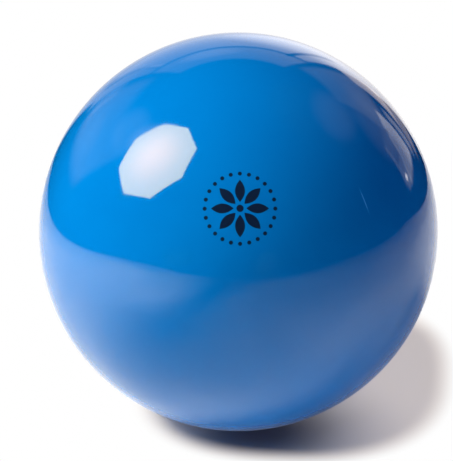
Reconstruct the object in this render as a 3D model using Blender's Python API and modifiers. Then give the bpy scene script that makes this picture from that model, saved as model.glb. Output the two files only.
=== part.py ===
"""Rhythmic gymnastics ball: a seamless hollow ball of soft plastic with a plug valve.

Metres, +Z up. The origin is the centre of the ball. The valve looks along +Y, and the ball stands
on the small flat that its own weight presses into the skin, on the -Z side.
"""

import math

import bmesh
import bpy

# Ball
BALL_RADIUS = 0.095
WALL = 0.0032
REST_PATCH_RADIUS = 0.012

# Clearance that stands for every bonded or pressed joint
FIT_GAP = 0.0003
EDGE_CHAMFER = 0.0002

# Hole in the skin: radii about the valve axis, depths below the flat outer face of the valve
RECESS_RADIUS = 0.0075
RECESS_DEPTH = 0.0015
HOLE_RADIUS = 0.0050
BOSS_RADIUS = 0.0090
BOSS_DEPTH = 0.0075
BOSS_SLOPE_WIDTH = 0.0070

# Valve insert
INNER_FLANGE_RADIUS = 0.0065
INNER_FLANGE_THICKNESS = 0.0013
NOSE_RADIUS = 0.0036
NOSE_DEPTH = 0.0130
BORE_RADIUS = 0.0024
PLUG_RECESS_RADIUS = 0.0039
PLUG_RECESS_DEPTH = 0.0013

# Plug
PLUG_HEAD_THICKNESS = 0.0010
PLUG_SHANK_RADIUS = 0.0017
PLUG_RING_COUNT = 3
PLUG_RING_PITCH = 0.0024
PLUG_RING_HALF_WIDTH = 0.0005
PLUG_FIRST_RING_DEPTH = 0.0025
PLUG_TAPER_LENGTH = 0.0025
PLUG_LENGTH = 0.0124
PLUG_TIP_RADIUS = 0.0009

# Fineness of the round shapes
BALL_STEPS = 64
OUTER_HALF_BANDS = 15
INNER_BANDS = 16
BOSS_BANDS = 4
VALVE_STEPS = 32

# Values that follow from those above
INNER_RADIUS = BALL_RADIUS - WALL
FACE_HEIGHT = math.sqrt(BALL_RADIUS**2 - RECESS_RADIUS**2)
BOSS_FOOT_RADIUS = BOSS_RADIUS + BOSS_SLOPE_WIDTH
FLANGE_RADIUS = RECESS_RADIUS - FIT_GAP
FLANGE_DEPTH = RECESS_DEPTH - FIT_GAP
NECK_RADIUS = HOLE_RADIUS - FIT_GAP
INNER_FLANGE_DEPTH = BOSS_DEPTH + FIT_GAP
PLUG_HEAD_RADIUS = PLUG_RECESS_RADIUS - FIT_GAP
PLUG_RING_RADIUS = BORE_RADIUS - FIT_GAP
REST_HEIGHT = -math.sqrt(BALL_RADIUS**2 - REST_PATCH_RADIUS**2)


def clear_scene():
    """Empty the scene of its objects."""
    for obj in list(bpy.data.objects):
        bpy.data.objects.remove(obj, do_unlink=True)


def new_collection(name):
    """A collection linked to the scene."""
    collection = bpy.data.collections.new(name)
    bpy.context.scene.collection.children.link(collection)
    return collection


def new_material(name, colour, roughness):
    """A plain plastic or rubber finish."""
    material = bpy.data.materials.new(name)
    material.use_nodes = True
    shader = material.node_tree.nodes["Principled BSDF"]
    shader.inputs["Base Color"].default_value = (*colour, 1.0)
    shader.inputs["Roughness"].default_value = roughness
    shader.inputs["Metallic"].default_value = 0.0
    material.diffuse_color = (*colour, 1.0)
    return material


def arc(radius, start, end, bands):
    """Points of an arc about the ball's centre, with its angles measured from the valve axis."""
    angles = [start + (end - start) * i / bands for i in range(bands + 1)]
    return [(radius * math.sin(a), radius * math.cos(a)) for a in angles]


def turned_object(name, profile, closed, steps, material, collection, parent):
    """Turn a profile of (radius, height) points about the local Z axis."""
    shape = bmesh.new()
    points = [shape.verts.new((radius, 0.0, height)) for radius, height in profile]
    for first, second in zip(points, points[1:]):
        shape.edges.new((first, second))
    if closed:
        shape.edges.new((points[-1], points[0]))
    mesh = bpy.data.meshes.new(name)
    shape.to_mesh(mesh)
    shape.free()
    mesh.materials.append(material)

    obj = bpy.data.objects.new(name, mesh)
    obj.parent = parent
    collection.objects.link(obj)
    screw = obj.modifiers.new("turn", "SCREW")
    screw.axis = "Z"
    screw.steps = steps
    screw.render_steps = steps
    screw.use_smooth_shade = True
    screw.use_merge_vertices = True
    screw.merge_threshold = 0.00001
    return obj


def boss_slope():
    """Points from the foot of the boss, on the inside of the wall, to the rim of its flat face."""
    points = []
    for i in range(1, BOSS_BANDS + 1):
        share = i / BOSS_BANDS
        ease = share * share * (3.0 - 2.0 * share)
        radius = BOSS_FOOT_RADIUS - BOSS_SLOPE_WIDTH * share
        wall_height = math.sqrt(INNER_RADIUS**2 - radius**2)
        boss_height = FACE_HEIGHT - BOSS_DEPTH
        points.append((radius, wall_height + (boss_height - wall_height) * ease))
    return points


def ball_shell_profile():
    """Inside of the skin from its far pole to the boss, through the hole, and down the outside."""
    foot_angle = math.asin(BOSS_FOOT_RADIUS / INNER_RADIUS)
    rim_angle = math.asin(RECESS_RADIUS / BALL_RADIUS)
    inside = arc(INNER_RADIUS, math.pi, foot_angle, INNER_BANDS)
    hole = [
        (HOLE_RADIUS, FACE_HEIGHT - BOSS_DEPTH),
        (HOLE_RADIUS, FACE_HEIGHT - RECESS_DEPTH),
        (RECESS_RADIUS, FACE_HEIGHT - RECESS_DEPTH),
    ]
    valve_half = arc(BALL_RADIUS, rim_angle, math.pi / 2.0, OUTER_HALF_BANDS)
    far_half = arc(BALL_RADIUS, math.pi / 2.0, math.pi, OUTER_HALF_BANDS)
    return inside + boss_slope() + hole + valve_half + far_half[1:]


def valve_body_profile():
    """Section of the insert, from the rim of its flat face down its outside and up its bore.

    Heights are measured from the flat outer face.
    """
    return [
        (PLUG_RECESS_RADIUS, 0.0),
        (FLANGE_RADIUS - EDGE_CHAMFER, 0.0),
        (FLANGE_RADIUS, -EDGE_CHAMFER),
        (FLANGE_RADIUS, -FLANGE_DEPTH),
        (NECK_RADIUS, -FLANGE_DEPTH),
        (NECK_RADIUS, -INNER_FLANGE_DEPTH),
        (INNER_FLANGE_RADIUS, -INNER_FLANGE_DEPTH),
        (INNER_FLANGE_RADIUS, -INNER_FLANGE_DEPTH - INNER_FLANGE_THICKNESS),
        (NOSE_RADIUS, -NOSE_DEPTH),
        (BORE_RADIUS, -NOSE_DEPTH),
        (BORE_RADIUS, -PLUG_RECESS_DEPTH),
        (PLUG_RECESS_RADIUS, -PLUG_RECESS_DEPTH),
    ]


def valve_plug_profile():
    """Outside of the plug from the middle of its head down to its tip, measured from the head's top."""
    profile = [
        (0.0, 0.0),
        (PLUG_HEAD_RADIUS - EDGE_CHAMFER, 0.0),
        (PLUG_HEAD_RADIUS, -EDGE_CHAMFER),
        (PLUG_HEAD_RADIUS, -PLUG_HEAD_THICKNESS),
        (PLUG_SHANK_RADIUS, -PLUG_HEAD_THICKNESS),
    ]
    for ring in range(PLUG_RING_COUNT):
        depth = PLUG_FIRST_RING_DEPTH + ring * PLUG_RING_PITCH
        profile += [
            (PLUG_SHANK_RADIUS, -depth + PLUG_RING_HALF_WIDTH),
            (PLUG_RING_RADIUS, -depth),
            (PLUG_SHANK_RADIUS, -depth - PLUG_RING_HALF_WIDTH),
        ]
    return profile + [
        (PLUG_SHANK_RADIUS, -PLUG_LENGTH + PLUG_TAPER_LENGTH),
        (PLUG_TIP_RADIUS, -PLUG_LENGTH),
        (0.0, -PLUG_LENGTH),
    ]


def rest_cutter(collection):
    """Block whose top face takes the small flat off the underside of the ball."""
    side = 4.0 * REST_PATCH_RADIUS
    shape = bmesh.new()
    bmesh.ops.create_cube(shape, size=side)
    mesh = bpy.data.meshes.new("rest_cutter")
    shape.to_mesh(mesh)
    shape.free()
    cutter = bpy.data.objects.new("rest_cutter", mesh)
    cutter.location.z = REST_HEIGHT - side / 2.0
    cutter.hide_render = True
    cutter.display_type = "WIRE"
    collection.objects.link(cutter)
    return cutter


def build():
    """Make the ball, its valve insert and its plug about one valve axis."""
    clear_scene()
    parts = new_collection("rhythmic_gymnastics_ball")
    cutters = new_collection("cutters")

    valve_axis = bpy.data.objects.new("valve_axis", None)
    valve_axis.rotation_euler.x = -math.pi / 2.0
    parts.objects.link(valve_axis)

    skin = new_material("glossy_blue_pvc", (0.0, 0.19, 0.58), 0.10)
    shell = turned_object(
        "ball_shell", ball_shell_profile(), False, BALL_STEPS, skin, parts, valve_axis
    )
    flat = shell.modifiers.new("rest_patch", "BOOLEAN")
    flat.operation = "DIFFERENCE"
    flat.solver = "EXACT"
    flat.object = rest_cutter(cutters)

    rubber = new_material("blue_valve_rubber", (0.0, 0.09, 0.32), 0.45)
    insert = turned_object(
        "valve_body", valve_body_profile(), True, VALVE_STEPS, rubber, parts, valve_axis
    )
    insert.location.z = FACE_HEIGHT

    ivory = new_material("ivory_plug_plastic", (0.78, 0.76, 0.70), 0.35)
    plug = turned_object(
        "valve_plug", valve_plug_profile(), False, VALVE_STEPS, ivory, parts, valve_axis
    )
    plug.location.z = FACE_HEIGHT


build()
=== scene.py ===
"""Looks of a rhythmic gymnastics ball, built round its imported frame.

Metres, +Z up. The origin is the centre of the ball, the valve looks along +Y, and the camera stands
on the -Y side, a little above the ball.
"""

import logging
import math
from dataclasses import dataclass
from enum import Enum
from typing import Any

import bmesh
import bpy
from mathutils import Matrix, Vector, noise


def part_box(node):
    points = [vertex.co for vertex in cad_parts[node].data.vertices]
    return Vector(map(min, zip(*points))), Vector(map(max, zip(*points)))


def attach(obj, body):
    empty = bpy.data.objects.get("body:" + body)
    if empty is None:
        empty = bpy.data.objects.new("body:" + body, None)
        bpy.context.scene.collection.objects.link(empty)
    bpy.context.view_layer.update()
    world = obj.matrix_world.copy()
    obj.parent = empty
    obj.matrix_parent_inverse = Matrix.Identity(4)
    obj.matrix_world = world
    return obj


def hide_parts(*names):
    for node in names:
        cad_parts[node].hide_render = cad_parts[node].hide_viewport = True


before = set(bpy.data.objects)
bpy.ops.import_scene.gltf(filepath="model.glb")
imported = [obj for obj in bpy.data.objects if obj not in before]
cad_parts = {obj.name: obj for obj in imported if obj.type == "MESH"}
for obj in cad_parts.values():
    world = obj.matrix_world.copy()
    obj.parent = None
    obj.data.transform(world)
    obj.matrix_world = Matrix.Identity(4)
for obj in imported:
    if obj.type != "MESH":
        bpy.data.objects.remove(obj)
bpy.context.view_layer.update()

LOG = logging.getLogger("ball_looks")
IMAGE_HEIGHT = 461
MERGE_DISTANCE = 1e-6
SHARP_ANGLE = math.radians(35.0)
FLAT_FACE_WEIGHT = 80

RIGHT = Vector((1.0, 0.0, 0.0))
BACK = Vector((0.0, 1.0, 0.0))
UP = Vector((0.0, 0.0, 1.0))

Colour = tuple[float, float, float]
Place = tuple[float, float, float]
Point = tuple[float, float]
Span = tuple[float, float]

BLACK: Colour = (0.0, 0.0, 0.0)
WHITE: Colour = (1.0, 1.0, 1.0)


class Body(Enum):
    """Moving bodies of the frame."""

    BALL = "ball"
    PLUG = "plug"


class Slot(Enum):
    """Finishes that the record names."""

    SKIN = "skin"
    VALVE_RUBBER = "valve_rubber"
    PLUG_PLASTIC = "plug_plastic"


class Ray(Enum):
    """Kinds of ray that an object of the studio may be hidden from."""

    CAMERA = "visible_camera"
    DIFFUSE = "visible_diffuse"
    GLOSSY = "visible_glossy"
    TRANSMISSION = "visible_transmission"
    SHADOW = "visible_shadow"


class Value:
    """A number that varies over a surface, written with Python's operators."""

    def __init__(self, recipe: "Recipe", socket: bpy.types.NodeSocket) -> None:
        """Wrap the socket of a node that the recipe holds."""
        self.recipe = recipe
        self.socket = socket

    def _math(self, operation: str, *terms: "Value | float") -> "Value":
        """Add a Math node.

        Args:
            operation: Blender's name of the operation.
            terms: The node's inputs, in order.

        Returns:
            The node's result.
        """
        return self.recipe.value("ShaderNodeMath", {"operation": operation}, dict(enumerate(terms)))

    def __add__(self, other: "Value | float") -> "Value":
        """Sum."""
        return self._math("ADD", self, other)

    __radd__ = __add__

    def __sub__(self, other: "Value | float") -> "Value":
        """Difference."""
        return self._math("SUBTRACT", self, other)

    def __rsub__(self, other: float) -> "Value":
        """Difference from a plain number."""
        return self._math("SUBTRACT", other, self)

    def __mul__(self, other: "Value | float") -> "Value":
        """Product."""
        return self._math("MULTIPLY", self, other)

    __rmul__ = __mul__

    def __truediv__(self, other: "Value | float") -> "Value":
        """Quotient."""
        return self._math("DIVIDE", self, other)

    def __pow__(self, other: float) -> "Value":
        """Power."""
        return self._math("POWER", self, other)

    def __abs__(self) -> "Value":
        """Size without its sign."""
        return self._math("ABSOLUTE", self)

    def larger(self, other: "Value | float") -> "Value":
        """The larger of two numbers."""
        return self._math("MAXIMUM", self, other)

    def sine(self) -> "Value":
        """Sine of an angle."""
        return self._math("SINE", self)

    def cosine(self) -> "Value":
        """Cosine of an angle."""
        return self._math("COSINE", self)

    def bearing(self, ahead: "Value") -> "Value":
        """Angle whose sideways part is this number."""
        return self._math("ARCTAN2", self, ahead)

    def folded(self, half_turn: float) -> "Value":
        """Rise from 0 to a number and back again, without end."""
        return self._math("PINGPONG", self, half_turn)

    def rise(self, low: float, high: float) -> "Value":
        """Go smoothly from 0 to 1.

        Args:
            low: Where the result is still 0.
            high: Where the result has become 1.

        Returns:
            The eased share between the two.
        """
        settings = {"interpolation_type": "SMOOTHSTEP"}
        inputs = {"Value": self, "From Min": low, "From Max": high}
        return self.recipe.value("ShaderNodeMapRange", settings, inputs)


class Recipe:
    """The node tree of one material or of the world."""

    def __init__(self, owner: bpy.types.Material | bpy.types.World) -> None:
        """Start an empty tree.

        Args:
            owner: What the tree belongs to.
        """
        owner.use_nodes = True
        self.tree = owner.node_tree
        self.tree.nodes.clear()

    def node(
        self,
        kind: str,
        settings: dict[str, Any] | None = None,
        inputs: dict[str | int, Any] | None = None,
    ) -> bpy.types.Node:
        """Add any node.

        Args:
            kind: Blender's name of the node's type.
            settings: The node's own properties, which are set first.
            inputs: A value or a link for each named or numbered socket.

        Returns:
            The new node.
        """
        node = self.tree.nodes.new(kind)
        for name, setting in (settings or {}).items():
            setattr(node, name, setting)
        for name, source in (inputs or {}).items():
            socket = node.inputs[name]
            if isinstance(source, Value):
                self.tree.links.new(source.socket, socket)
            elif isinstance(source, bpy.types.NodeSocket):
                self.tree.links.new(source, socket)
            else:
                socket.default_value = source
        return node

    def value(
        self,
        kind: str,
        settings: dict[str, Any] | None = None,
        inputs: dict[str | int, Any] | None = None,
        output: str | int = 0,
    ) -> Value:
        """Add a node for the sake of one number.

        Args:
            kind: Blender's name of the node's type.
            settings: The node's own properties.
            inputs: A value or a link for each socket.
            output: Which of the node's outputs is wanted.

        Returns:
            That output.
        """
        return Value(self, self.node(kind, settings, inputs).outputs[output])

    def surface(self) -> bpy.types.NodeSocket:
        """Place on the piece, in metres, in the frame of the part."""
        return self.node("ShaderNodeTexCoord").outputs["Object"]

    def along(self, direction: Vector) -> Value:
        """Distance from the origin along a direction."""
        inputs = {0: self.surface(), 1: direction}
        return self.value("ShaderNodeVectorMath", {"operation": "DOT_PRODUCT"}, inputs, "Value")

    def away_from(self, place: Vector) -> Value:
        """Distance from a place."""
        inputs = {0: self.surface(), 1: place}
        return self.value("ShaderNodeVectorMath", {"operation": "DISTANCE"}, inputs, "Value")

    def noise(self, grain: float, detail: float = 2.0) -> Value:
        """Add a cloudy noise.

        Args:
            grain: Size of one cloud, in metres.
            detail: How many finer layers it has.

        Returns:
            Its height, about 0.5 in the middle.
        """
        inputs = {"Vector": self.surface(), "Scale": 1.0 / grain, "Detail": detail}
        return self.value("ShaderNodeTexNoise", None, inputs, "Fac")

    def tint(
        self,
        share: Value,
        first: Colour | bpy.types.NodeSocket,
        second: Colour | bpy.types.NodeSocket,
    ) -> bpy.types.NodeSocket:
        """Blend two colours.

        Args:
            share: How much of the second colour shows.
            first: A colour, or the output of another blend.
            second: Likewise.

        Returns:
            The blended colour.
        """
        ends = [(*end, 1.0) if isinstance(end, tuple) else end for end in (first, second)]
        inputs = {0: share, 6: ends[0], 7: ends[1]}
        return self.node("ShaderNodeMix", {"data_type": "RGBA"}, inputs).outputs[2]

    def bump(self, height: Value, depth: float) -> bpy.types.NodeSocket:
        """Turn a height into the normal of a finely uneven surface.

        Args:
            height: From 0 to 1.
            depth: How far 1 stands out, in metres.

        Returns:
            The normal.
        """
        inputs = {"Height": height, "Distance": depth}
        return self.node("ShaderNodeBump", None, inputs).outputs["Normal"]

    def mixed(
        self, share: Value, first: bpy.types.NodeSocket, second: bpy.types.NodeSocket
    ) -> bpy.types.NodeSocket:
        """Blend two shaders.

        Args:
            share: How much of the second shader shows.
            first: A shader.
            second: Another shader.

        Returns:
            The blended shader.
        """
        inputs = {0: share, 1: first, 2: second}
        return self.node("ShaderNodeMixShader", None, inputs).outputs[0]

    def finish(self, shader: bpy.types.NodeSocket, kind: str = "ShaderNodeOutputMaterial") -> None:
        """Send a shader to the output of the tree."""
        self.node(kind, None, {"Surface": shader})


@dataclass(frozen=True)
class Rosette:
    """A plain printed ornament: pointed petals round a dot, inside a ring of small dots."""

    facing: Place = (0.007, -0.897, 0.4415)
    petals: int = 8
    petal_middle: float = 0.0078
    petal_half_length: float = 0.0050
    petal_half_width: float = 0.0022
    dots: int = 24
    dot_ring: float = 0.0156
    dot_radius: float = 0.0009
    heart_radius: float = 0.0016
    blur: float = 0.00015

    def mask(self, recipe: Recipe) -> Value:
        """Where the ink lies.

        Args:
            recipe: The tree of the skin's material.

        Returns:
            1 on the ink and 0 beside it.
        """
        outward = Vector(self.facing).normalized()
        right = UP.cross(outward).normalized()
        across = recipe.along(right)
        upward = recipe.along(outward.cross(right))
        reach = (across * across + upward * upward) ** 0.5
        turn = across.bearing(upward)
        heart = (self.heart_radius - reach).rise(-self.blur, self.blur)
        ink = heart.larger(self._petal(reach, turn)).larger(self._dot(reach, turn))
        return ink * recipe.along(outward).rise(0.0, self.dot_ring)

    def _petal(self, reach: Value, turn: Value) -> Value:
        """Draw the ring of petals.

        Args:
            reach: Distance from the middle of the ornament.
            turn: Direction from there.

        Returns:
            1 on a petal and 0 beside it.
        """
        lean = turn.folded(math.pi / self.petals)
        place = (reach * lean.cosine() - self.petal_middle) / self.petal_half_length
        room = self.petal_half_width * (1.0 - place * place) - reach * lean.sine()
        return room.rise(-self.blur, self.blur)

    def _dot(self, reach: Value, turn: Value) -> Value:
        """Draw the ring of dots.

        Args:
            reach: Distance from the middle of the ornament.
            turn: Direction from there.

        Returns:
            1 on a dot and 0 beside it.
        """
        lean = turn.folded(math.pi / self.dots)
        outward = reach * lean.cosine() - self.dot_ring
        sideways = reach * lean.sine()
        room = self.dot_radius - (outward * outward + sideways * sideways) ** 0.5
        return room.rise(-self.blur, self.blur)


@dataclass(frozen=True)
class Scratch:
    """A hairline in the gloss, straight over the ball and fading towards its ends."""

    start: Place = (0.562, -0.673, 0.482)
    end: Place = (0.624, -0.709, 0.329)
    half_width: float = 0.0006
    even_share: float = 0.2

    def mask(self, recipe: Recipe) -> Value:
        """Where the gloss is scratched.

        Args:
            recipe: The tree of the skin's material.

        Returns:
            1 in the middle of the scratch and 0 beside it.
        """
        first, last = Vector(self.start).normalized(), Vector(self.end).normalized()
        across = first.cross(last).normalized()
        outward = (first + last).normalized()
        forward = across.cross(outward)
        slope = last.dot(forward) / last.dot(outward)
        travel = abs(recipe.along(forward) / recipe.along(outward))
        fade = travel.rise(self.even_share * slope, slope)
        line = abs(recipe.along(across)).rise(0.0, self.half_width)
        return (1.0 - line) * (1.0 - fade) * recipe.along(outward).rise(0.0, self.half_width)


@dataclass(frozen=True)
class GlossySkin:
    """Soft PVC with a high gloss, faintly uneven from the mould and from handling."""

    colour: Colour = (0.0, 0.146, 0.460)
    cloudy_colour: Colour = (0.0, 0.136, 0.436)
    ink_colour: Colour = (0.004, 0.012, 0.035)
    ior: float = 1.5
    cloud: float = 0.055
    cloud_detail: float = 3.0
    cloud_heights: Span = (0.35, 0.70)
    gloss: float = 0.05
    smear_gloss: float = 0.10
    ink_gloss: float = 0.14
    scratch_colour: Colour = (0.03, 0.27, 0.66)
    scratch_gloss: float = 0.35
    smear: float = 0.030
    smear_detail: float = 4.0
    smear_heights: Span = (0.50, 0.75)
    peel: float = 0.0022
    peel_depth: float = 0.0000012
    mark: Rosette = Rosette()
    scratch: Scratch = Scratch()

    def make(self) -> bpy.types.Material:
        """Make the material.

        Returns:
            The skin's material.
        """
        material = bpy.data.materials.new("glossy_blue_pvc")
        recipe = Recipe(material)
        ink = self.mark.mask(recipe)
        clouds = recipe.noise(self.cloud, self.cloud_detail).rise(*self.cloud_heights)
        smears = recipe.noise(self.smear, self.smear_detail).rise(*self.smear_heights)
        scratch = self.scratch.mask(recipe)
        colour = recipe.tint(clouds, self.colour, self.cloudy_colour)
        colour = recipe.tint(scratch, colour, self.scratch_colour)
        gloss = self.gloss + smears * (self.smear_gloss - self.gloss)
        gloss = gloss + scratch * (self.scratch_gloss - self.gloss)
        inputs = {
            "Base Color": recipe.tint(ink, colour, self.ink_colour),
            "Roughness": gloss + ink * (self.ink_gloss - self.gloss),
            "IOR": self.ior,
            "Normal": recipe.bump(recipe.noise(self.peel), self.peel_depth),
        }
        recipe.finish(recipe.node("ShaderNodeBsdfPrincipled", None, inputs).outputs[0])
        return material


@dataclass(frozen=True)
class SatinFinish:
    """A satin surface with a fine grain and patches worn to another tone."""

    name: str
    colour: Colour
    worn_colour: Colour
    roughness: float
    worn_roughness: float
    patch: float
    patch_heights: Span
    grain: float
    grain_depth: float
    patch_detail: float = 3.0

    def make(self) -> bpy.types.Material:
        """Make the material.

        Returns:
            The material, under the finish's name.
        """
        material = bpy.data.materials.new(self.name)
        recipe = Recipe(material)
        patches = recipe.noise(self.patch, self.patch_detail).rise(*self.patch_heights)
        inputs = {
            "Base Color": recipe.tint(patches, self.colour, self.worn_colour),
            "Roughness": self.roughness + patches * (self.worn_roughness - self.roughness),
            "Normal": recipe.bump(recipe.noise(self.grain), self.grain_depth),
        }
        recipe.finish(recipe.node("ShaderNodeBsdfPrincipled", None, inputs).outputs[0])
        return material


VALVE_RUBBER = SatinFinish(
    "blue_valve_rubber", colour=(0.0, 0.075, 0.270), worn_colour=(0.010, 0.110, 0.340),
    roughness=0.42, worn_roughness=0.58, patch=0.0035, patch_heights=(0.40, 0.70),
    grain=0.00035, grain_depth=0.000012,
)
IVORY_PLASTIC = SatinFinish(
    "ivory_plug_plastic", colour=(0.78, 0.76, 0.70), worn_colour=(0.70, 0.66, 0.56),
    roughness=0.32, worn_roughness=0.48, patch=0.0028, patch_heights=(0.40, 0.72),
    grain=0.00025, grain_depth=0.000008,
)


def new_object(
    name: str, shape: bmesh.types.BMesh, material: bpy.types.Material
) -> bpy.types.Object:
    """Turn a finished shape into an object of the scene.

    Args:
        name: Name of the object and of its mesh.
        shape: The shape, which is freed.
        material: Its finish.

    Returns:
        The object, at the origin.
    """
    mesh = bpy.data.meshes.new(name)
    shape.to_mesh(mesh)
    shape.free()
    mesh.materials.append(material)
    made = bpy.data.objects.new(name, mesh)
    bpy.context.scene.collection.objects.link(made)
    return made


class Lathe:
    """A section drawn stretch by stretch in the XY plane, then turned about the valve axis, +Y."""

    def __init__(self, radius: float, height: float) -> None:
        """Put the pen down.

        Args:
            radius: Distance of the first point from the axis.
            height: Its place along the axis.
        """
        self.shape = bmesh.new()
        self.start = self.shape.verts.new((radius, height, 0.0))
        self.pen = self.start

    def line(self, *points: Point) -> "Lathe":
        """Draw straight stretches.

        Args:
            points: Radius and height of the end of each stretch.

        Returns:
            The lathe, with its pen at the last point.
        """
        for radius, height in points:
            made = bmesh.ops.extrude_vert_indiv(self.shape, verts=[self.pen])
            self.pen = made["verts"][0]
            self.pen.co = (radius, height, 0.0)
        return self

    def arc(self, centre: Point, angle: float, bands: int) -> "Lathe":
        """Draw a round stretch.

        Args:
            centre: Radius and height of the arc's centre.
            angle: Turn about that centre, against the clock where it is positive.
            bands: How many straight pieces stand for the arc.

        Returns:
            The lathe, with its pen at the end of the arc.
        """
        made = bmesh.ops.spin(
            self.shape,
            geom=[self.pen],
            cent=(*centre, 0.0),
            axis=(0.0, 0.0, 1.0),
            angle=angle,
            steps=bands,
        )
        self.pen = next(item for item in made["geom_last"] if isinstance(item, bmesh.types.BMVert))
        return self

    def close(self) -> "Lathe":
        """Join the last point to the first one."""
        self.shape.edges.new((self.pen, self.start))
        return self

    def turn(self, steps: int, lip: float, lip_bands: int = 3) -> bmesh.types.BMesh:
        """Turn the section once round and round off its sharp rings.

        Args:
            steps: How many facets a full turn has.
            lip: Width of the rounding.
            lip_bands: How many facets the rounding has.

        Returns:
            The turned shape, closed and with its faces outwards.
        """
        shape = self.shape
        bmesh.ops.spin(
            shape,
            geom=[*shape.verts, *shape.edges],
            axis=(0.0, 1.0, 0.0),
            angle=math.tau,
            steps=steps,
            use_merge=True,
        )
        bmesh.ops.remove_doubles(shape, verts=shape.verts, dist=MERGE_DISTANCE)
        bmesh.ops.dissolve_degenerate(shape, edges=shape.edges, dist=MERGE_DISTANCE)
        bmesh.ops.recalc_face_normals(shape, faces=shape.faces)
        sharp = [e for e in shape.edges if e.calc_face_angle(0.0) > SHARP_ANGLE]
        bmesh.ops.bevel(
            shape,
            geom=sharp,
            offset=lip,
            segments=lip_bands,
            profile=0.5,
            affect="EDGES",
            material=-1,
            clamp_overlap=True,
        )
        for face in shape.faces:
            face.smooth = True
        return shape


def add_even_shading(piece: bpy.types.Object) -> None:
    """Let wide faces keep their own shading beside narrow rounded rings."""
    modifier = piece.modifiers.new("even_shading", "WEIGHTED_NORMAL")
    modifier.weight = FLAT_FACE_WEIGHT


def put(piece: bpy.types.Object, node: str, body: Body) -> None:
    """Let a piece stand for a node of the frame.

    Args:
        piece: The piece.
        node: The node that it replaces.
        body: The body that carries it.
    """
    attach(piece, body.value)
    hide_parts(node)
    LOG.info("%s: %d faces on body %s", piece.name, len(piece.data.polygons), body.value)


@dataclass
class BallSkin:
    """The hollow ball, with a boss and a recessed hole for the valve and a small flat to rest on."""

    radius: float
    rest_height: float
    face_height: float
    wall: float = 0.0032
    recess_radius: float = 0.0075
    recess_depth: float = 0.0015
    hole_radius: float = 0.0050
    boss_radius: float = 0.0090
    boss_depth: float = 0.0075
    boss_slope: float = 0.0070
    lip: float = 0.0003
    rim_band: float = 0.0012
    ripple_height: float = 0.000010
    ripple_length: float = 0.024
    steps: int = 288
    outer_bands: int = 176
    inner_bands: int = 40
    slope_bands: int = 8

    def build(self) -> None:
        """Turn the section and press the rest patch into it."""
        inner_radius = self.radius - self.wall
        foot = self.boss_radius + self.boss_slope
        rim_angle = math.asin(self.recess_radius / self.radius)
        rim_turn = self.rim_band / self.radius
        centre = (0.0, 0.0)
        lathe = Lathe(0.0, -inner_radius)
        lathe.arc(centre, math.pi - math.asin(foot / inner_radius), self.inner_bands)
        lathe.line(*self._slope_points(inner_radius))
        lathe.line(
            (self.hole_radius, self.face_height - self.boss_depth),
            (self.hole_radius, self.face_height - self.recess_depth),
            (self.recess_radius, self.face_height - self.recess_depth),
            (self.recess_radius, self.face_height),
        )
        lathe.arc(centre, -rim_turn, 1)
        lathe.arc(centre, rim_angle + rim_turn - math.pi, self.outer_bands)
        shape = lathe.turn(self.steps, self.lip)
        self._ripple(shape)
        self._flatten(shape)
        self.dress(shape)

    def _slope_points(self, inner_radius: float) -> list[Point]:
        """Draw the inside of the skin round the boss.

        Args:
            inner_radius: Radius of the inside of the wall.

        Returns:
            Points from the foot of the boss to the rim of its flat face.
        """
        top = self.face_height - self.boss_depth
        points = []
        for band in range(1, self.slope_bands + 1):
            share = band / self.slope_bands
            radius = self.boss_radius + self.boss_slope * (1.0 - share)
            wall_height = math.sqrt(inner_radius**2 - radius**2)
            ease = share * share * (3.0 - 2.0 * share)
            points.append((radius, wall_height + (top - wall_height) * ease))
        return points

    def _ripple(self, shape: bmesh.types.BMesh) -> None:
        """Move the outside inwards by up to a hair, away from the valve.

        Args:
            shape: The turned skin.
        """
        for vertex in shape.verts:
            outside = vertex.co.length > self.radius - self.lip
            if outside and vertex.co.y < self.face_height - self.wall:
                share = 0.5 + 0.5 * noise.noise(vertex.co / self.ripple_length)
                vertex.co *= 1.0 - self.ripple_height * share / self.radius

    def _flatten(self, shape: bmesh.types.BMesh) -> None:
        """Press the lowest part of the skin flat on the floor."""
        for vertex in shape.verts:
            vertex.co.z = max(vertex.co.z, self.rest_height)

    def dress(self, shape: bmesh.types.BMesh) -> None:
        """Give the skin its finish and its place in the frame.

        Args:
            shape: The finished shape.
        """
        piece = new_object("ball_skin", shape, GlossySkin().make())
        add_even_shading(piece)
        put(piece, "ball_shell", Body.BALL)


@dataclass
class ValveInsert:
    """The rubber insert: outer flange, neck, inner flange and nose, with a bore for the plug."""

    flange_radius: float
    face_height: float
    nose_height: float
    flange_depth: float = 0.0012
    neck_radius: float = 0.0047
    inner_flange_radius: float = 0.0065
    inner_flange_depth: float = 0.0078
    inner_flange_thickness: float = 0.0013
    nose_radius: float = 0.0036
    bore_radius: float = 0.0024
    plug_recess_radius: float = 0.0039
    plug_recess_depth: float = 0.0013
    lip: float = 0.00022
    steps: int = 96

    def build(self) -> None:
        """Turn the section from the rim of the flat face down its outside and up its bore."""
        face = self.face_height
        lathe = Lathe(self.plug_recess_radius, face)
        lathe.line(
            (self.flange_radius, face),
            (self.flange_radius, face - self.flange_depth),
            (self.neck_radius, face - self.flange_depth),
            (self.neck_radius, face - self.inner_flange_depth),
            (self.inner_flange_radius, face - self.inner_flange_depth),
            (self.inner_flange_radius, face - self.inner_flange_depth - self.inner_flange_thickness),
            (self.nose_radius, self.nose_height),
            (self.bore_radius, self.nose_height),
            (self.bore_radius, face - self.plug_recess_depth),
            (self.plug_recess_radius, face - self.plug_recess_depth),
        )
        self.dress(lathe.close().turn(self.steps, self.lip))

    def dress(self, shape: bmesh.types.BMesh) -> None:
        """Give the insert its finish and its place in the frame.

        Args:
            shape: The finished shape.
        """
        piece = new_object("valve_insert", shape, VALVE_RUBBER.make())
        add_even_shading(piece)
        put(piece, "valve_body", Body.BALL)


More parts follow.
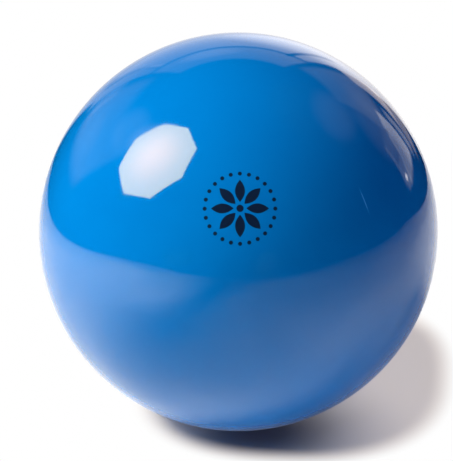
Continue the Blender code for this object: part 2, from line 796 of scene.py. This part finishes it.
@dataclass
class ValvePlug:
    """The peg that closes the valve: a dished head on a shank with sealing rings."""

    head_radius: float
    face_height: float
    tip_height: float
    head_thickness: float = 0.0010
    dish_radius: float = 0.0021
    dish_depth: float = 0.0003
    shank_radius: float = 0.0017
    ring_radius: float = 0.0021
    ring_half_width: float = 0.0005
    ring_count: int = 3
    ring_pitch: float = 0.0024
    first_ring_depth: float = 0.0025
    taper_length: float = 0.0025
    tip_radius: float = 0.0009
    lip: float = 0.00016
    steps: int = 96

    def build(self) -> None:
        """Turn the section from the middle of the head down to the tip."""
        face = self.face_height
        lathe = Lathe(0.0, face - self.dish_depth)
        lathe.line(
            (self.dish_radius - self.dish_depth, face - self.dish_depth),
            (self.dish_radius, face),
            (self.head_radius, face),
            (self.head_radius, face - self.head_thickness),
            (self.shank_radius, face - self.head_thickness),
        )
        for ring in range(self.ring_count):
            middle = face - self.first_ring_depth - ring * self.ring_pitch
            lathe.line(
                (self.shank_radius, middle + self.ring_half_width),
                (self.ring_radius, middle),
                (self.shank_radius, middle - self.ring_half_width),
            )
        lathe.line(
            (self.shank_radius, self.tip_height + self.taper_length),
            (self.tip_radius, self.tip_height),
            (0.0, self.tip_height),
        )
        self.dress(lathe.turn(self.steps, self.lip))

    def dress(self, shape: bmesh.types.BMesh) -> None:
        """Give the plug its finish and its place in the frame.

        Args:
            shape: The finished shape.
        """
        piece = new_object("plug", shape, IVORY_PLASTIC.make())
        add_even_shading(piece)
        put(piece, "valve_plug", Body.PLUG)


def hide_from(thing: bpy.types.Object, *rays: Ray) -> None:
    """Keep kinds of ray from seeing an object."""
    for ray in rays:
        setattr(thing, ray.value, False)


def towards(azimuth: float, elevation: float) -> Vector:
    """A direction from the ball.

    Args:
        azimuth: Degrees from the back of the set, +Y, to the right of the picture, +X.
        elevation: Degrees above the horizon.

    Returns:
        The unit vector.
    """
    a, e = math.radians(azimuth), math.radians(elevation)
    return Vector((math.sin(a) * math.cos(e), math.cos(a) * math.cos(e), math.sin(e)))


@dataclass(frozen=True)
class Softbox:
    """A painted highlight: the key light's eight-sided front as the ball mirrors it, brightest in the
    middle.
    """

    place: Place = (-0.757, -0.204, 0.815)
    aim: Place = (0.599, 0.630, -0.494)
    roll: float = 17.4
    radius: float = 0.444
    middle: Colour = (20.2, 13.9, 5.3)
    edge: Colour = (12.1, 10.5, 3.7)
    back: Colour = (0.01, 0.01, 0.01)
    sides: int = 8

    def build(self) -> None:
        """Make the glowing front and its black back."""
        shape = bmesh.new()
        turn = Vector(self.aim).to_track_quat("Z", "Y").to_matrix().to_4x4()
        roll = Matrix.Rotation(math.radians(self.roll), 4, "Z")
        matrix = Matrix.Translation(self.place) @ turn @ roll
        bmesh.ops.create_circle(
            shape, cap_ends=True, radius=self.radius, segments=self.sides, matrix=matrix
        )
        material = bpy.data.materials.new("softbox_front")
        # Only mirrored, so it isn't sampled as a lamp, which would add noise
        material.cycles.emission_sampling = "NONE"
        recipe = Recipe(material)
        reach = recipe.away_from(Vector(self.place)).rise(0.0, self.radius)
        glow = recipe.tint(reach, self.middle, self.edge)
        front = recipe.node("ShaderNodeEmission", None, {"Color": glow})
        back = recipe.node("ShaderNodeBsdfDiffuse", None, {"Color": (*self.back, 1.0)})
        behind = recipe.value("ShaderNodeNewGeometry", None, None, "Backfacing")
        recipe.finish(recipe.mixed(behind, front.outputs[0], back.outputs[0]))
        box = new_object("softbox", shape, material)
        hide_from(box, Ray.CAMERA, Ray.DIFFUSE, Ray.SHADOW)


@dataclass(frozen=True)
class Patch:
    """A glowing patch of the dark room, a painted reflection that only the ball's gloss sees.

    Angles are in degrees: the azimuth runs from the back of the set to the right, the elevation up from
    the horizon. Left, right, low and high are shares of the full glow at the four sides, and the two
    leans tell how far the left and the right side move to the right for each degree upwards.
    """

    azimuths: Span
    elevations: Span
    glow: float
    left: float = 1.0
    right: float = 1.0
    low: float = 1.0
    high: float = 1.0
    leans: tuple[float, float] = (0.0, 0.0)
    side_blur: float = 1.0
    end_blur: float = 1.0

    def light(self, azimuth: Value, elevation: Value) -> Value:
        """Glow of the patch.

        Args:
            azimuth: Where a point of the room lies.
            elevation: Likewise.

        Returns:
            The glow at that point.
        """
        above = elevation - sum(self.elevations) / 2.0
        after = (azimuth - above * self.leans[0]).rise(*self._edge(self.azimuths[0], self.side_blur))
        before = (azimuth - above * self.leans[1]).rise(*self._edge(self.azimuths[1], self.side_blur))
        over = elevation.rise(*self._edge(self.elevations[0], self.end_blur))
        under = elevation.rise(*self._edge(self.elevations[1], self.end_blur))
        sideways = self._slope(azimuth, self.azimuths, self.left, self.right)
        upwards = self._slope(elevation, self.elevations, self.low, self.high)
        return after * (1.0 - before) * over * (1.0 - under) * sideways * upwards * self.glow

    @staticmethod
    def _edge(middle: float, blur: float) -> Span:
        """Where a soft edge begins and ends."""
        return middle - blur, middle + blur

    @staticmethod
    def _slope(angle: Value, ends: Span, first: float, last: float) -> Value | float:
        """Straight slope between two angles."""
        low, high = ends
        return first if first == last else first + (angle - low) * ((last - first) / (high - low))


@dataclass(frozen=True)
class Spot:
    """A round soft glow in the room, a painted reflection, with the same angles as a patch."""

    azimuth: float
    elevation: float
    width: float
    height: float
    glow: float
    lean: float = 0.0

    def light(self, azimuth: Value, elevation: Value) -> Value:
        """Glow of the spot.

        Args:
            azimuth: Where a point of the room lies.
            elevation: Likewise.

        Returns:
            The glow at that point.
        """
        above = elevation - self.elevation
        across = (azimuth - self.azimuth - above * self.lean) / self.width
        climb = above / self.height
        return (1.0 - (across * across + climb * climb).rise(0.0, 1.0)) * self.glow


# Painted reflections: glows for the room's openings, walls and a lamp as the ball mirrors them, and
# darker lines for uprights
GLOWS = (
    # Bright opening behind the ball, with its two dark uprights
    Patch(
        (-20.8, 19.6), (3.0, 27.4), 1.62, left=0.42, right=0.95, low=1.08, high=0.72,
        leans=(-0.12, -0.05), side_blur=0.8, end_blur=1.2,
    ),
    Patch((-17.5, 18.6), (-18.0, 3.0), 1.62, left=0.38, right=0.95, leans=(-0.6, 0.25), end_blur=1.2),
    Spot(9.5, 9.0, 14.0, 16.0, 0.82),
    Patch((13.3, 14.9), (6.5, 29.0), -1.10, low=0.7, side_blur=0.6, end_blur=2.0),
    Patch((-20.6, -19.4), (0.0, 27.0), -0.26, leans=(-0.2, -0.2), side_blur=0.7, end_blur=2.0),
    # Parts beside and above it
    Patch((-26.6, -20.8), (3.0, 27.4), 0.60, left=0.85, low=1.05, high=0.60, end_blur=1.5),
    Patch((-26.5, 19.8), (29.2, 43.6), 0.72, left=0.58, right=0.90, high=0.62, end_blur=1.5),
    Spot(-9.0, 34.0, 12.0, 6.5, 0.32),
    # Paler wall on the left
    Patch(
        (-73.0, -31.2), (6.0, 34.0), 0.52, right=0.75, high=0.55, leans=(-0.75, 0.0),
        side_blur=3.0, end_blur=4.0,
    ),
    Spot(-50.0, 17.0, 12.0, 7.0, 0.13),
    Spot(-70.0, 39.0, 20.0, 12.0, 0.42, lean=-0.3),
    Spot(-80.0, 44.0, 9.0, 10.0, 0.70),
    Patch((-33.5, -26.6), (7.5, 18.5), 0.30, side_blur=1.5, end_blur=3.0),
    # Paler wall on the right
    Patch((23.0, 47.5), (12.5, 38.0), 0.25, side_blur=1.5, end_blur=2.5),
    Spot(37.0, 21.0, 9.0, 9.0, 0.10),
    Spot(50.0, 22.0, 17.0, 15.0, 0.18),
    Spot(62.0, 44.0, 24.0, 13.0, 0.22, lean=0.3),
    # Slender bright openings on the right, with one small lamp
    Patch((31.0, 35.0), (-2.0, 9.5), 0.62, end_blur=1.5),
    Patch((37.3, 44.8), (0.6, 16.0), 1.25, left=1.1, right=0.80),
    Patch((44.8, 50.5), (0.6, 14.0), 0.72, leans=(0.0, -0.35)),
    Patch((50.5, 57.0), (1.0, 9.5), 0.60, high=0.55),
    Patch((48.0, 57.0), (9.0, 18.0), 0.18, end_blur=2.0),
    Patch((56.8, 59.0), (3.0, 18.0), 0.42, side_blur=0.7),
    Spot(55.1, 4.3, 1.6, 1.5, 4.2),
)
# Painted reflections in a warmer hue
WARM_GLOWS = (
    # Strip beside the bright opening
    Patch(
        (19.6, 27.3), (0.8, 14.0), 1.45, right=0.72, high=0.85, leans=(0.0, -0.25), side_blur=0.9,
    ),
    Patch((19.5, 29.5), (-6.0, 0.8), 0.45),
)


@dataclass(frozen=True)
class Room:
    """The dark room that the ball mirrors above the table, with painted reflections glowing on it."""

    radius: float = 12.0
    fineness: int = 4
    full_glow: float = 5.0
    dark: Colour = (0.002, 0.002, 0.003)
    pale: Colour = (1.0, 0.95, 0.90)
    warm: Colour = (1.0, 0.84, 0.68)

    def build(self) -> None:
        """Make a dome whose inner side glows in places."""
        shape = bmesh.new()
        bmesh.ops.create_icosphere(shape, subdivisions=self.fineness, radius=self.radius)
        bmesh.ops.reverse_faces(shape, faces=shape.faces)
        material = bpy.data.materials.new("dark_room")
        # Only mirrored, as the softbox is
        material.cycles.emission_sampling = "NONE"
        recipe = Recipe(material)
        right = recipe.along(RIGHT)
        back = recipe.along(BACK)
        up = recipe.along(UP)
        azimuth = right.bearing(back) * math.degrees(1.0)
        elevation = up.bearing((right * right + back * back) ** 0.5) * math.degrees(1.0)
        shaders = []
        for glows, hue in ((GLOWS, self.pale), (WARM_GLOWS, self.warm)):
            light = sum(glow.light(azimuth, elevation) for glow in glows)
            full = tuple(channel * self.full_glow for channel in hue)
            colour = recipe.tint(light / self.full_glow, self.dark, full)
            shaders.append(recipe.node("ShaderNodeEmission", None, {"Color": colour}).outputs[0])
        recipe.finish(recipe.node("ShaderNodeAddShader", None, dict(enumerate(shaders))).outputs[0])
        room = new_object("dark_room", shape, material)
        hide_from(room, Ray.CAMERA, Ray.DIFFUSE, Ray.SHADOW)


@dataclass(frozen=True)
class Lamp:
    """A large soft lamp that the ball doesn't mirror."""

    name: str
    azimuth: float
    elevation: float
    distance: float
    size: float
    power: float
    colour: Colour

    def build(self) -> None:
        """Hang the lamp, aimed at the ball."""
        data = bpy.data.lights.new(self.name, "AREA")
        data.shape = "DISK"
        data.size = self.size
        data.energy = self.power
        data.color = self.colour
        lamp = bpy.data.objects.new(self.name, data)
        outward = towards(self.azimuth, self.elevation)
        lamp.location = outward * self.distance
        lamp.rotation_euler = outward.to_track_quat("Z", "Y").to_euler()
        bpy.context.scene.collection.objects.link(lamp)
        hide_from(lamp, Ray.CAMERA, Ray.GLOSSY)


@dataclass(frozen=True)
class Table:
    """The white table, as the ball mirrors it, with a slanted left edge, painted shade and painted
    light.

    Pairs of numbers tell between which places a part sets in. They are metres to the right or towards
    the camera, but fan_left, fan_right and pool_fan are shares of the width of the fan of painted
    shadow.
    """

    height: float
    left: float = -1.25
    right: float = 1.60
    front: float = -1.10
    back: float = 0.55
    left_edge: float = -0.78
    left_edge_slant: float = 0.87
    paper: Colour = (0.90, 0.90, 0.90)
    # Colour of the paper where the painted shade is full
    dim: Colour = (0.02, 0.02, 0.02)
    # A fan of painted shadow on the paper, opening towards the camera
    fan_place: float = -0.105
    fan_start: float = 0.20
    fan_least: float = 0.20
    fan_left: Span = (0.0, 0.74)
    fan_right: Span = (-0.03, 0.65)
    fan_begins: Span = (0.0, 0.18)
    fan_deepens: Span = (0.20, 0.45)
    fan_near: float = 0.84
    # Painted shade: darker paper at the left front corner, at the front, behind the ball and far out in
    # front
    corner_reach: Span = (0.30, 0.85)
    corner_painted_shade: float = 0.55
    front_reach: Span = (0.02, 0.28)
    front_side: Span = (-0.15, 0.0)
    front_painted_shade: float = 0.46
    front_ease_reach: Span = (0.05, 0.40)
    front_ease: float = 0.20
    back_reach: Span = (-0.02, 0.05)
    back_side: Span = (-0.06, 0.0)
    back_painted_shade: float = 0.18
    fade_reach: Span = (0.56, 1.12)
    fade_side: Span = (-0.05, 0.10)
    # Painted light: a pool of light and a sheen that glow on the paper
    pool_place: Point = (-0.55, -0.13)
    pool_reach: Span = (0.15, 0.68)
    pool_fan: Span = (1.1, 2.0)
    pool_ahead: Span = (0.25, 0.45)
    pool_glow: float = 0.74
    sheen_towards: Place = (0.648, -0.762, 0.0)
    sheen_slant: Span = (0.075, 0.120)
    sheen_side: Span = (0.03, 0.10)
    sheen_front: Span = (0.045, 0.070)
    sheen_end: Span = (0.070, 0.110)
    sheen_front_side: Span = (-0.08, -0.02)
    sheen_reach: Span = (0.15, 0.40)
    sheen_share: float = 0.44
    side_pool_place: Point = (0.32, 0.25)
    side_pool_reach: Span = (0.08, 0.28)

    def build(self) -> None:
        """Make the table top."""
        shape = bmesh.new()
        bmesh.ops.create_grid(shape, x_segments=1, y_segments=1, size=0.5)
        middle = Vector((self.left + self.right, self.front + self.back, 2.0 * self.height)) / 2.0
        size = (self.right - self.left, self.back - self.front, 1.0)
        bmesh.ops.scale(shape, vec=size, verts=shape.verts)
        bmesh.ops.translate(shape, vec=middle, verts=shape.verts)
        bmesh.ops.bisect_plane(
            shape,
            geom=[*shape.verts, *shape.edges, *shape.faces],
            plane_co=(self.left_edge, 0.0, 0.0),
            plane_no=(-1.0, self.left_edge_slant, 0.0),
            clear_outer=True,
        )
        table = new_object("table_top", shape, self._finish())
        hide_from(table, Ray.CAMERA)

    def _finish(self) -> bpy.types.Material:
        """White paper with a painted pool of light glowing on its left, a painted sheen and painted
        shade.

        Returns:
            The table's material.
        """
        material = bpy.data.materials.new("white_table")
        recipe = Recipe(material)
        right = recipe.along(RIGHT)
        ahead = recipe.along(-BACK)
        fan = (right - self.fan_place) / (ahead - self.fan_start).larger(self.fan_least)
        unshaded = self._share_under_painted_shade(right, ahead, fan)
        tone = recipe.tint(unshaded, self.dim, self.paper)
        paper = recipe.node("ShaderNodeBsdfDiffuse", None, {"Color": tone})
        # Painted pool of light on the left, with the painted sheen added to it
        reach = recipe.away_from(Vector((*self.pool_place, self.height)))
        beyond = (1.0 - (0.0 - fan).rise(*self.pool_fan)) * ahead.rise(*self.pool_ahead)
        pool = (1.0 - reach.rise(*self.pool_reach)) * (1.0 - beyond) * unshaded
        pool = pool + self._painted_sheen(recipe, right, ahead) * self.sheen_share
        glow = recipe.tint(pool, BLACK, (self.pool_glow, self.pool_glow, self.pool_glow))
        # The painted pool and sheen glow as emission; they are no lamp
        lamp = recipe.node("ShaderNodeEmission", None, {"Color": glow})
        both = recipe.node("ShaderNodeAddShader", None, {0: paper.outputs[0], 1: lamp.outputs[0]})
        recipe.finish(both.outputs[0])
        return material

    def _share_under_painted_shade(self, right: Value, ahead: Value, fan: Value) -> Value:
        """How much of the paper's white is left under the painted shade.

        Args:
            right: Place across the table.
            ahead: Place towards the camera.
            fan: Place across the fan of painted shadow that opens towards the camera, in shares of its
                width.

        Returns:
            One on unshaded paper, zero where the painted shade is full.
        """
        # Painted shade: a fan of painted shadow, and painted falloff at the left front corner, the
        # front, behind the ball and far out in front
        fan_shadow = (1.0 - (0.0 - fan).rise(*self.fan_left)) * (1.0 - fan.rise(*self.fan_right))
        depth = ahead.rise(*self.fan_deepens) * (1.0 - self.fan_near) + self.fan_near
        fan_shadow = fan_shadow * ahead.rise(*self.fan_begins) * depth
        corner = (0.0 - right - ahead).rise(*self.corner_reach) * self.corner_painted_shade
        dimness = self.front_painted_shade - right.rise(*self.front_ease_reach) * self.front_ease
        front = ahead.rise(*self.front_reach) * right.rise(*self.front_side) * dimness
        back = (0.0 - ahead).rise(*self.back_reach) * (1.0 - right.rise(*self.back_side))
        fade = ahead.rise(*self.fade_reach) * right.rise(*self.fade_side)
        dim = corner.larger(front).larger(back * self.back_painted_shade)
        return (1.0 - fan_shadow) * (1.0 - dim) * (1.0 - fade)

    def _painted_sheen(self, recipe: Recipe, right: Value, ahead: Value) -> Value:
        """Painted light: a sheen glowing on the paper close to the ball and on its right.

        Args:
            recipe: The material's maker.
            right: Place across the table.
            ahead: Place towards the camera.

        Returns:
            One where the painted sheen is full.
        """
        slant = recipe.along(Vector(self.sheen_towards))
        side = slant.rise(*self.sheen_slant) * right.rise(*self.sheen_side)
        near = ahead.rise(*self.sheen_front) * (1.0 - ahead.rise(*self.sheen_end))
        near = near * right.rise(*self.sheen_front_side)
        reach = recipe.away_from(Vector((0.0, 0.0, self.height)))
        sheen = side.larger(near) * (1.0 - reach.rise(*self.sheen_reach))
        side_reach = recipe.away_from(Vector((*self.side_pool_place, self.height)))
        return sheen.larger(1.0 - side_reach.rise(*self.side_pool_reach))


LAMPS = (
    Lamp(
        "key_lamp", azimuth=-104.8, elevation=45.5, distance=1.13, size=0.5,
        power=20.4, colour=(1.0, 0.97, 0.865),
    ),
    Lamp(
        "right_lamp", azimuth=68.0, elevation=56.0, distance=1.3, size=0.9,
        power=5.1, colour=(0.68, 0.70, 1.0),
    ),
    Lamp(
        "back_lamp", azimuth=5.0, elevation=20.0, distance=1.2, size=0.9,
        power=2.5, colour=WHITE,
    ),
    Lamp(
        "front_left_lamp", azimuth=214.0, elevation=1.0, distance=2.2, size=0.5,
        power=15.7, colour=(1.0, 1.0, 0.92),
    ),
    Lamp(
        "front_right_lamp", azimuth=165.0, elevation=1.0, distance=2.2, size=0.5,
        power=5.4, colour=(0.46, 0.50, 1.0),
    ),
)


@dataclass
class Studio:
    """A white table in a dark room, with a key lamp and four weaker lamps.

    The softbox only shows in the ball's gloss. On the floor, the contact is a painted shadow, a darker
    colour under the ball on top of the lamps' own shadow; the shade is a turned oblong with round
    corners, inside which the lamps' shadow is kept and outside which the floor is evenly white; and the
    veil is painted light, a pale glow that lifts that shadow.
    """

    floor_height: float
    table_drop: float = 0.0003
    floor_colour: Colour = (0.92, 0.88, 0.80)
    floor_reach: float = 3.0
    contact_shadow_colour: Colour = (0.44, 0.32, 0.29)
    contact_place: Point = (0.007, -0.025)
    contact: Span = (0.0, 0.050)
    # Painted light: the veil is a pale glow that lifts the shadow
    veil: float = 0.40
    veil_colour: Colour = (1.0, 0.88, 0.80)
    veil_reach: Span = (0.011, 0.092)
    shade_middle: Place = (0.029, 0.051, 0.0)
    shade_halves: tuple[float, float] = (0.082, 0.112)
    shade_turn: float = -5.2
    shade_squareness: float = 2.5
    shade_rim: Span = (0.82, 1.02)
    ambient: Colour = (0.030, 0.031, 0.036)
    camera_azimuth: float = 180.0
    camera_elevation: float = 20.0
    camera_distance: float = 1.2238
    lens: float = 200.0
    sensor: float = 36.0
    ball_right_of_middle: float = 12.0
    ball_below_middle: float = 1.1

    def build(self) -> None:
        """Make everything that isn't the ball."""
        Table(self.floor_height - self.table_drop).build()
        self.build_floor()
        Room().build()
        Softbox().build()
        for lamp in LAMPS:
            lamp.build()
        self.build_world()
        self.build_camera()

    def build_floor(self) -> None:
        """Make the floor that the camera sees: lamps' shadow with painted shadow and light near the
        ball, white further out.
        """
        shape = bmesh.new()
        bmesh.ops.create_grid(shape, x_segments=1, y_segments=1, size=self.floor_reach)
        bmesh.ops.translate(shape, vec=(0.0, 0.0, self.floor_height), verts=shape.verts)
        material = bpy.data.materials.new("white_floor")
        recipe = Recipe(material)
        spread = recipe.away_from(Vector((*self.contact_place, self.floor_height)))
        # Painted contact shadow: a darker floor colour near the contact
        colour = recipe.tint(spread.rise(*self.contact), self.contact_shadow_colour, self.floor_colour)
        paper = recipe.node("ShaderNodeBsdfDiffuse", None, {"Color": colour})
        edge = self._shade_reach(recipe).rise(*self.shade_rim)
        # Painted light: the veil glows over the shadow
        veil = spread.rise(*self.veil_reach) * self.veil
        glow = recipe.tint(edge, self.veil_colour, WHITE)
        white = recipe.node("ShaderNodeEmission", None, {"Color": glow})
        share = 1.0 - (1.0 - veil) * (1.0 - edge)
        recipe.finish(recipe.mixed(share, paper.outputs[0], white.outputs[0]))
        floor = new_object("floor", shape, material)
        hide_from(floor, Ray.DIFFUSE, Ray.GLOSSY, Ray.TRANSMISSION, Ray.SHADOW)

    def _shade_reach(self, recipe: Recipe) -> Value:
        """How far out a point lies in the rounded shade on the floor.

        Args:
            recipe: The tree of the floor's material.

        Returns:
            0 in the middle of the shade and 1 on its outline.
        """
        turn = Matrix.Rotation(math.radians(self.shade_turn), 3, "Z")
        total = 0.0
        for axis, half in zip((RIGHT, BACK), self.shade_halves):
            way = turn @ axis
            aside = abs(recipe.along(way) - way.dot(Vector(self.shade_middle))) / half
            total = aside**self.shade_squareness + total
        return total ** (1.0 / self.shade_squareness)

    def build_world(self) -> None:
        """Make the white background and the dim light that the room gives."""
        world = bpy.data.worlds.new("white_background")
        bpy.context.scene.world = world
        recipe = Recipe(world)
        path = recipe.node("ShaderNodeLightPath")
        camera = Value(recipe, path.outputs["Is Camera Ray"])
        glossy = Value(recipe, path.outputs["Is Glossy Ray"])
        clear = Value(recipe, path.outputs["Is Transmission Ray"])
        dim = recipe.node("ShaderNodeBackground", None, {"Color": (*self.ambient, 1.0)})
        white = recipe.node("ShaderNodeBackground", None, {"Color": (*WHITE, 1.0)})
        share = camera.larger(glossy).larger(clear)
        shader = recipe.mixed(share, dim.outputs[0], white.outputs[0])
        recipe.finish(shader, "ShaderNodeOutputWorld")

    def build_camera(self) -> None:
        """Put the camera where the photograph was taken from."""
        data = bpy.data.cameras.new("camera")
        data.sensor_width = self.sensor
        data.lens = self.lens
        data.shift_x = -self.ball_right_of_middle / IMAGE_HEIGHT
        data.shift_y = self.ball_below_middle / IMAGE_HEIGHT
        camera = bpy.data.objects.new("camera", data)
        outward = towards(self.camera_azimuth, self.camera_elevation)
        camera.location = outward * self.camera_distance
        camera.rotation_euler = outward.to_track_quat("Z", "Y").to_euler()
        bpy.context.scene.collection.objects.link(camera)
        bpy.context.scene.camera = camera


def main() -> None:
    """Build the ball, its valve and the studio round them."""
    logging.basicConfig(level=logging.INFO, format="%(message)s")
    shell_low, shell_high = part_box("ball_shell")
    insert_low, insert_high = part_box("valve_body")
    plug_low, plug_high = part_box("valve_plug")
    BallSkin(shell_high.x, shell_low.z, shell_high.y).build()
    ValveInsert(insert_high.x, insert_high.y, insert_low.y).build()
    ValvePlug(plug_high.x, plug_high.y, plug_low.y).build()
    Studio(shell_low.z).build()
    bpy.context.scene.view_settings.view_transform = "Standard"


if __name__ == "__main__":
    main()
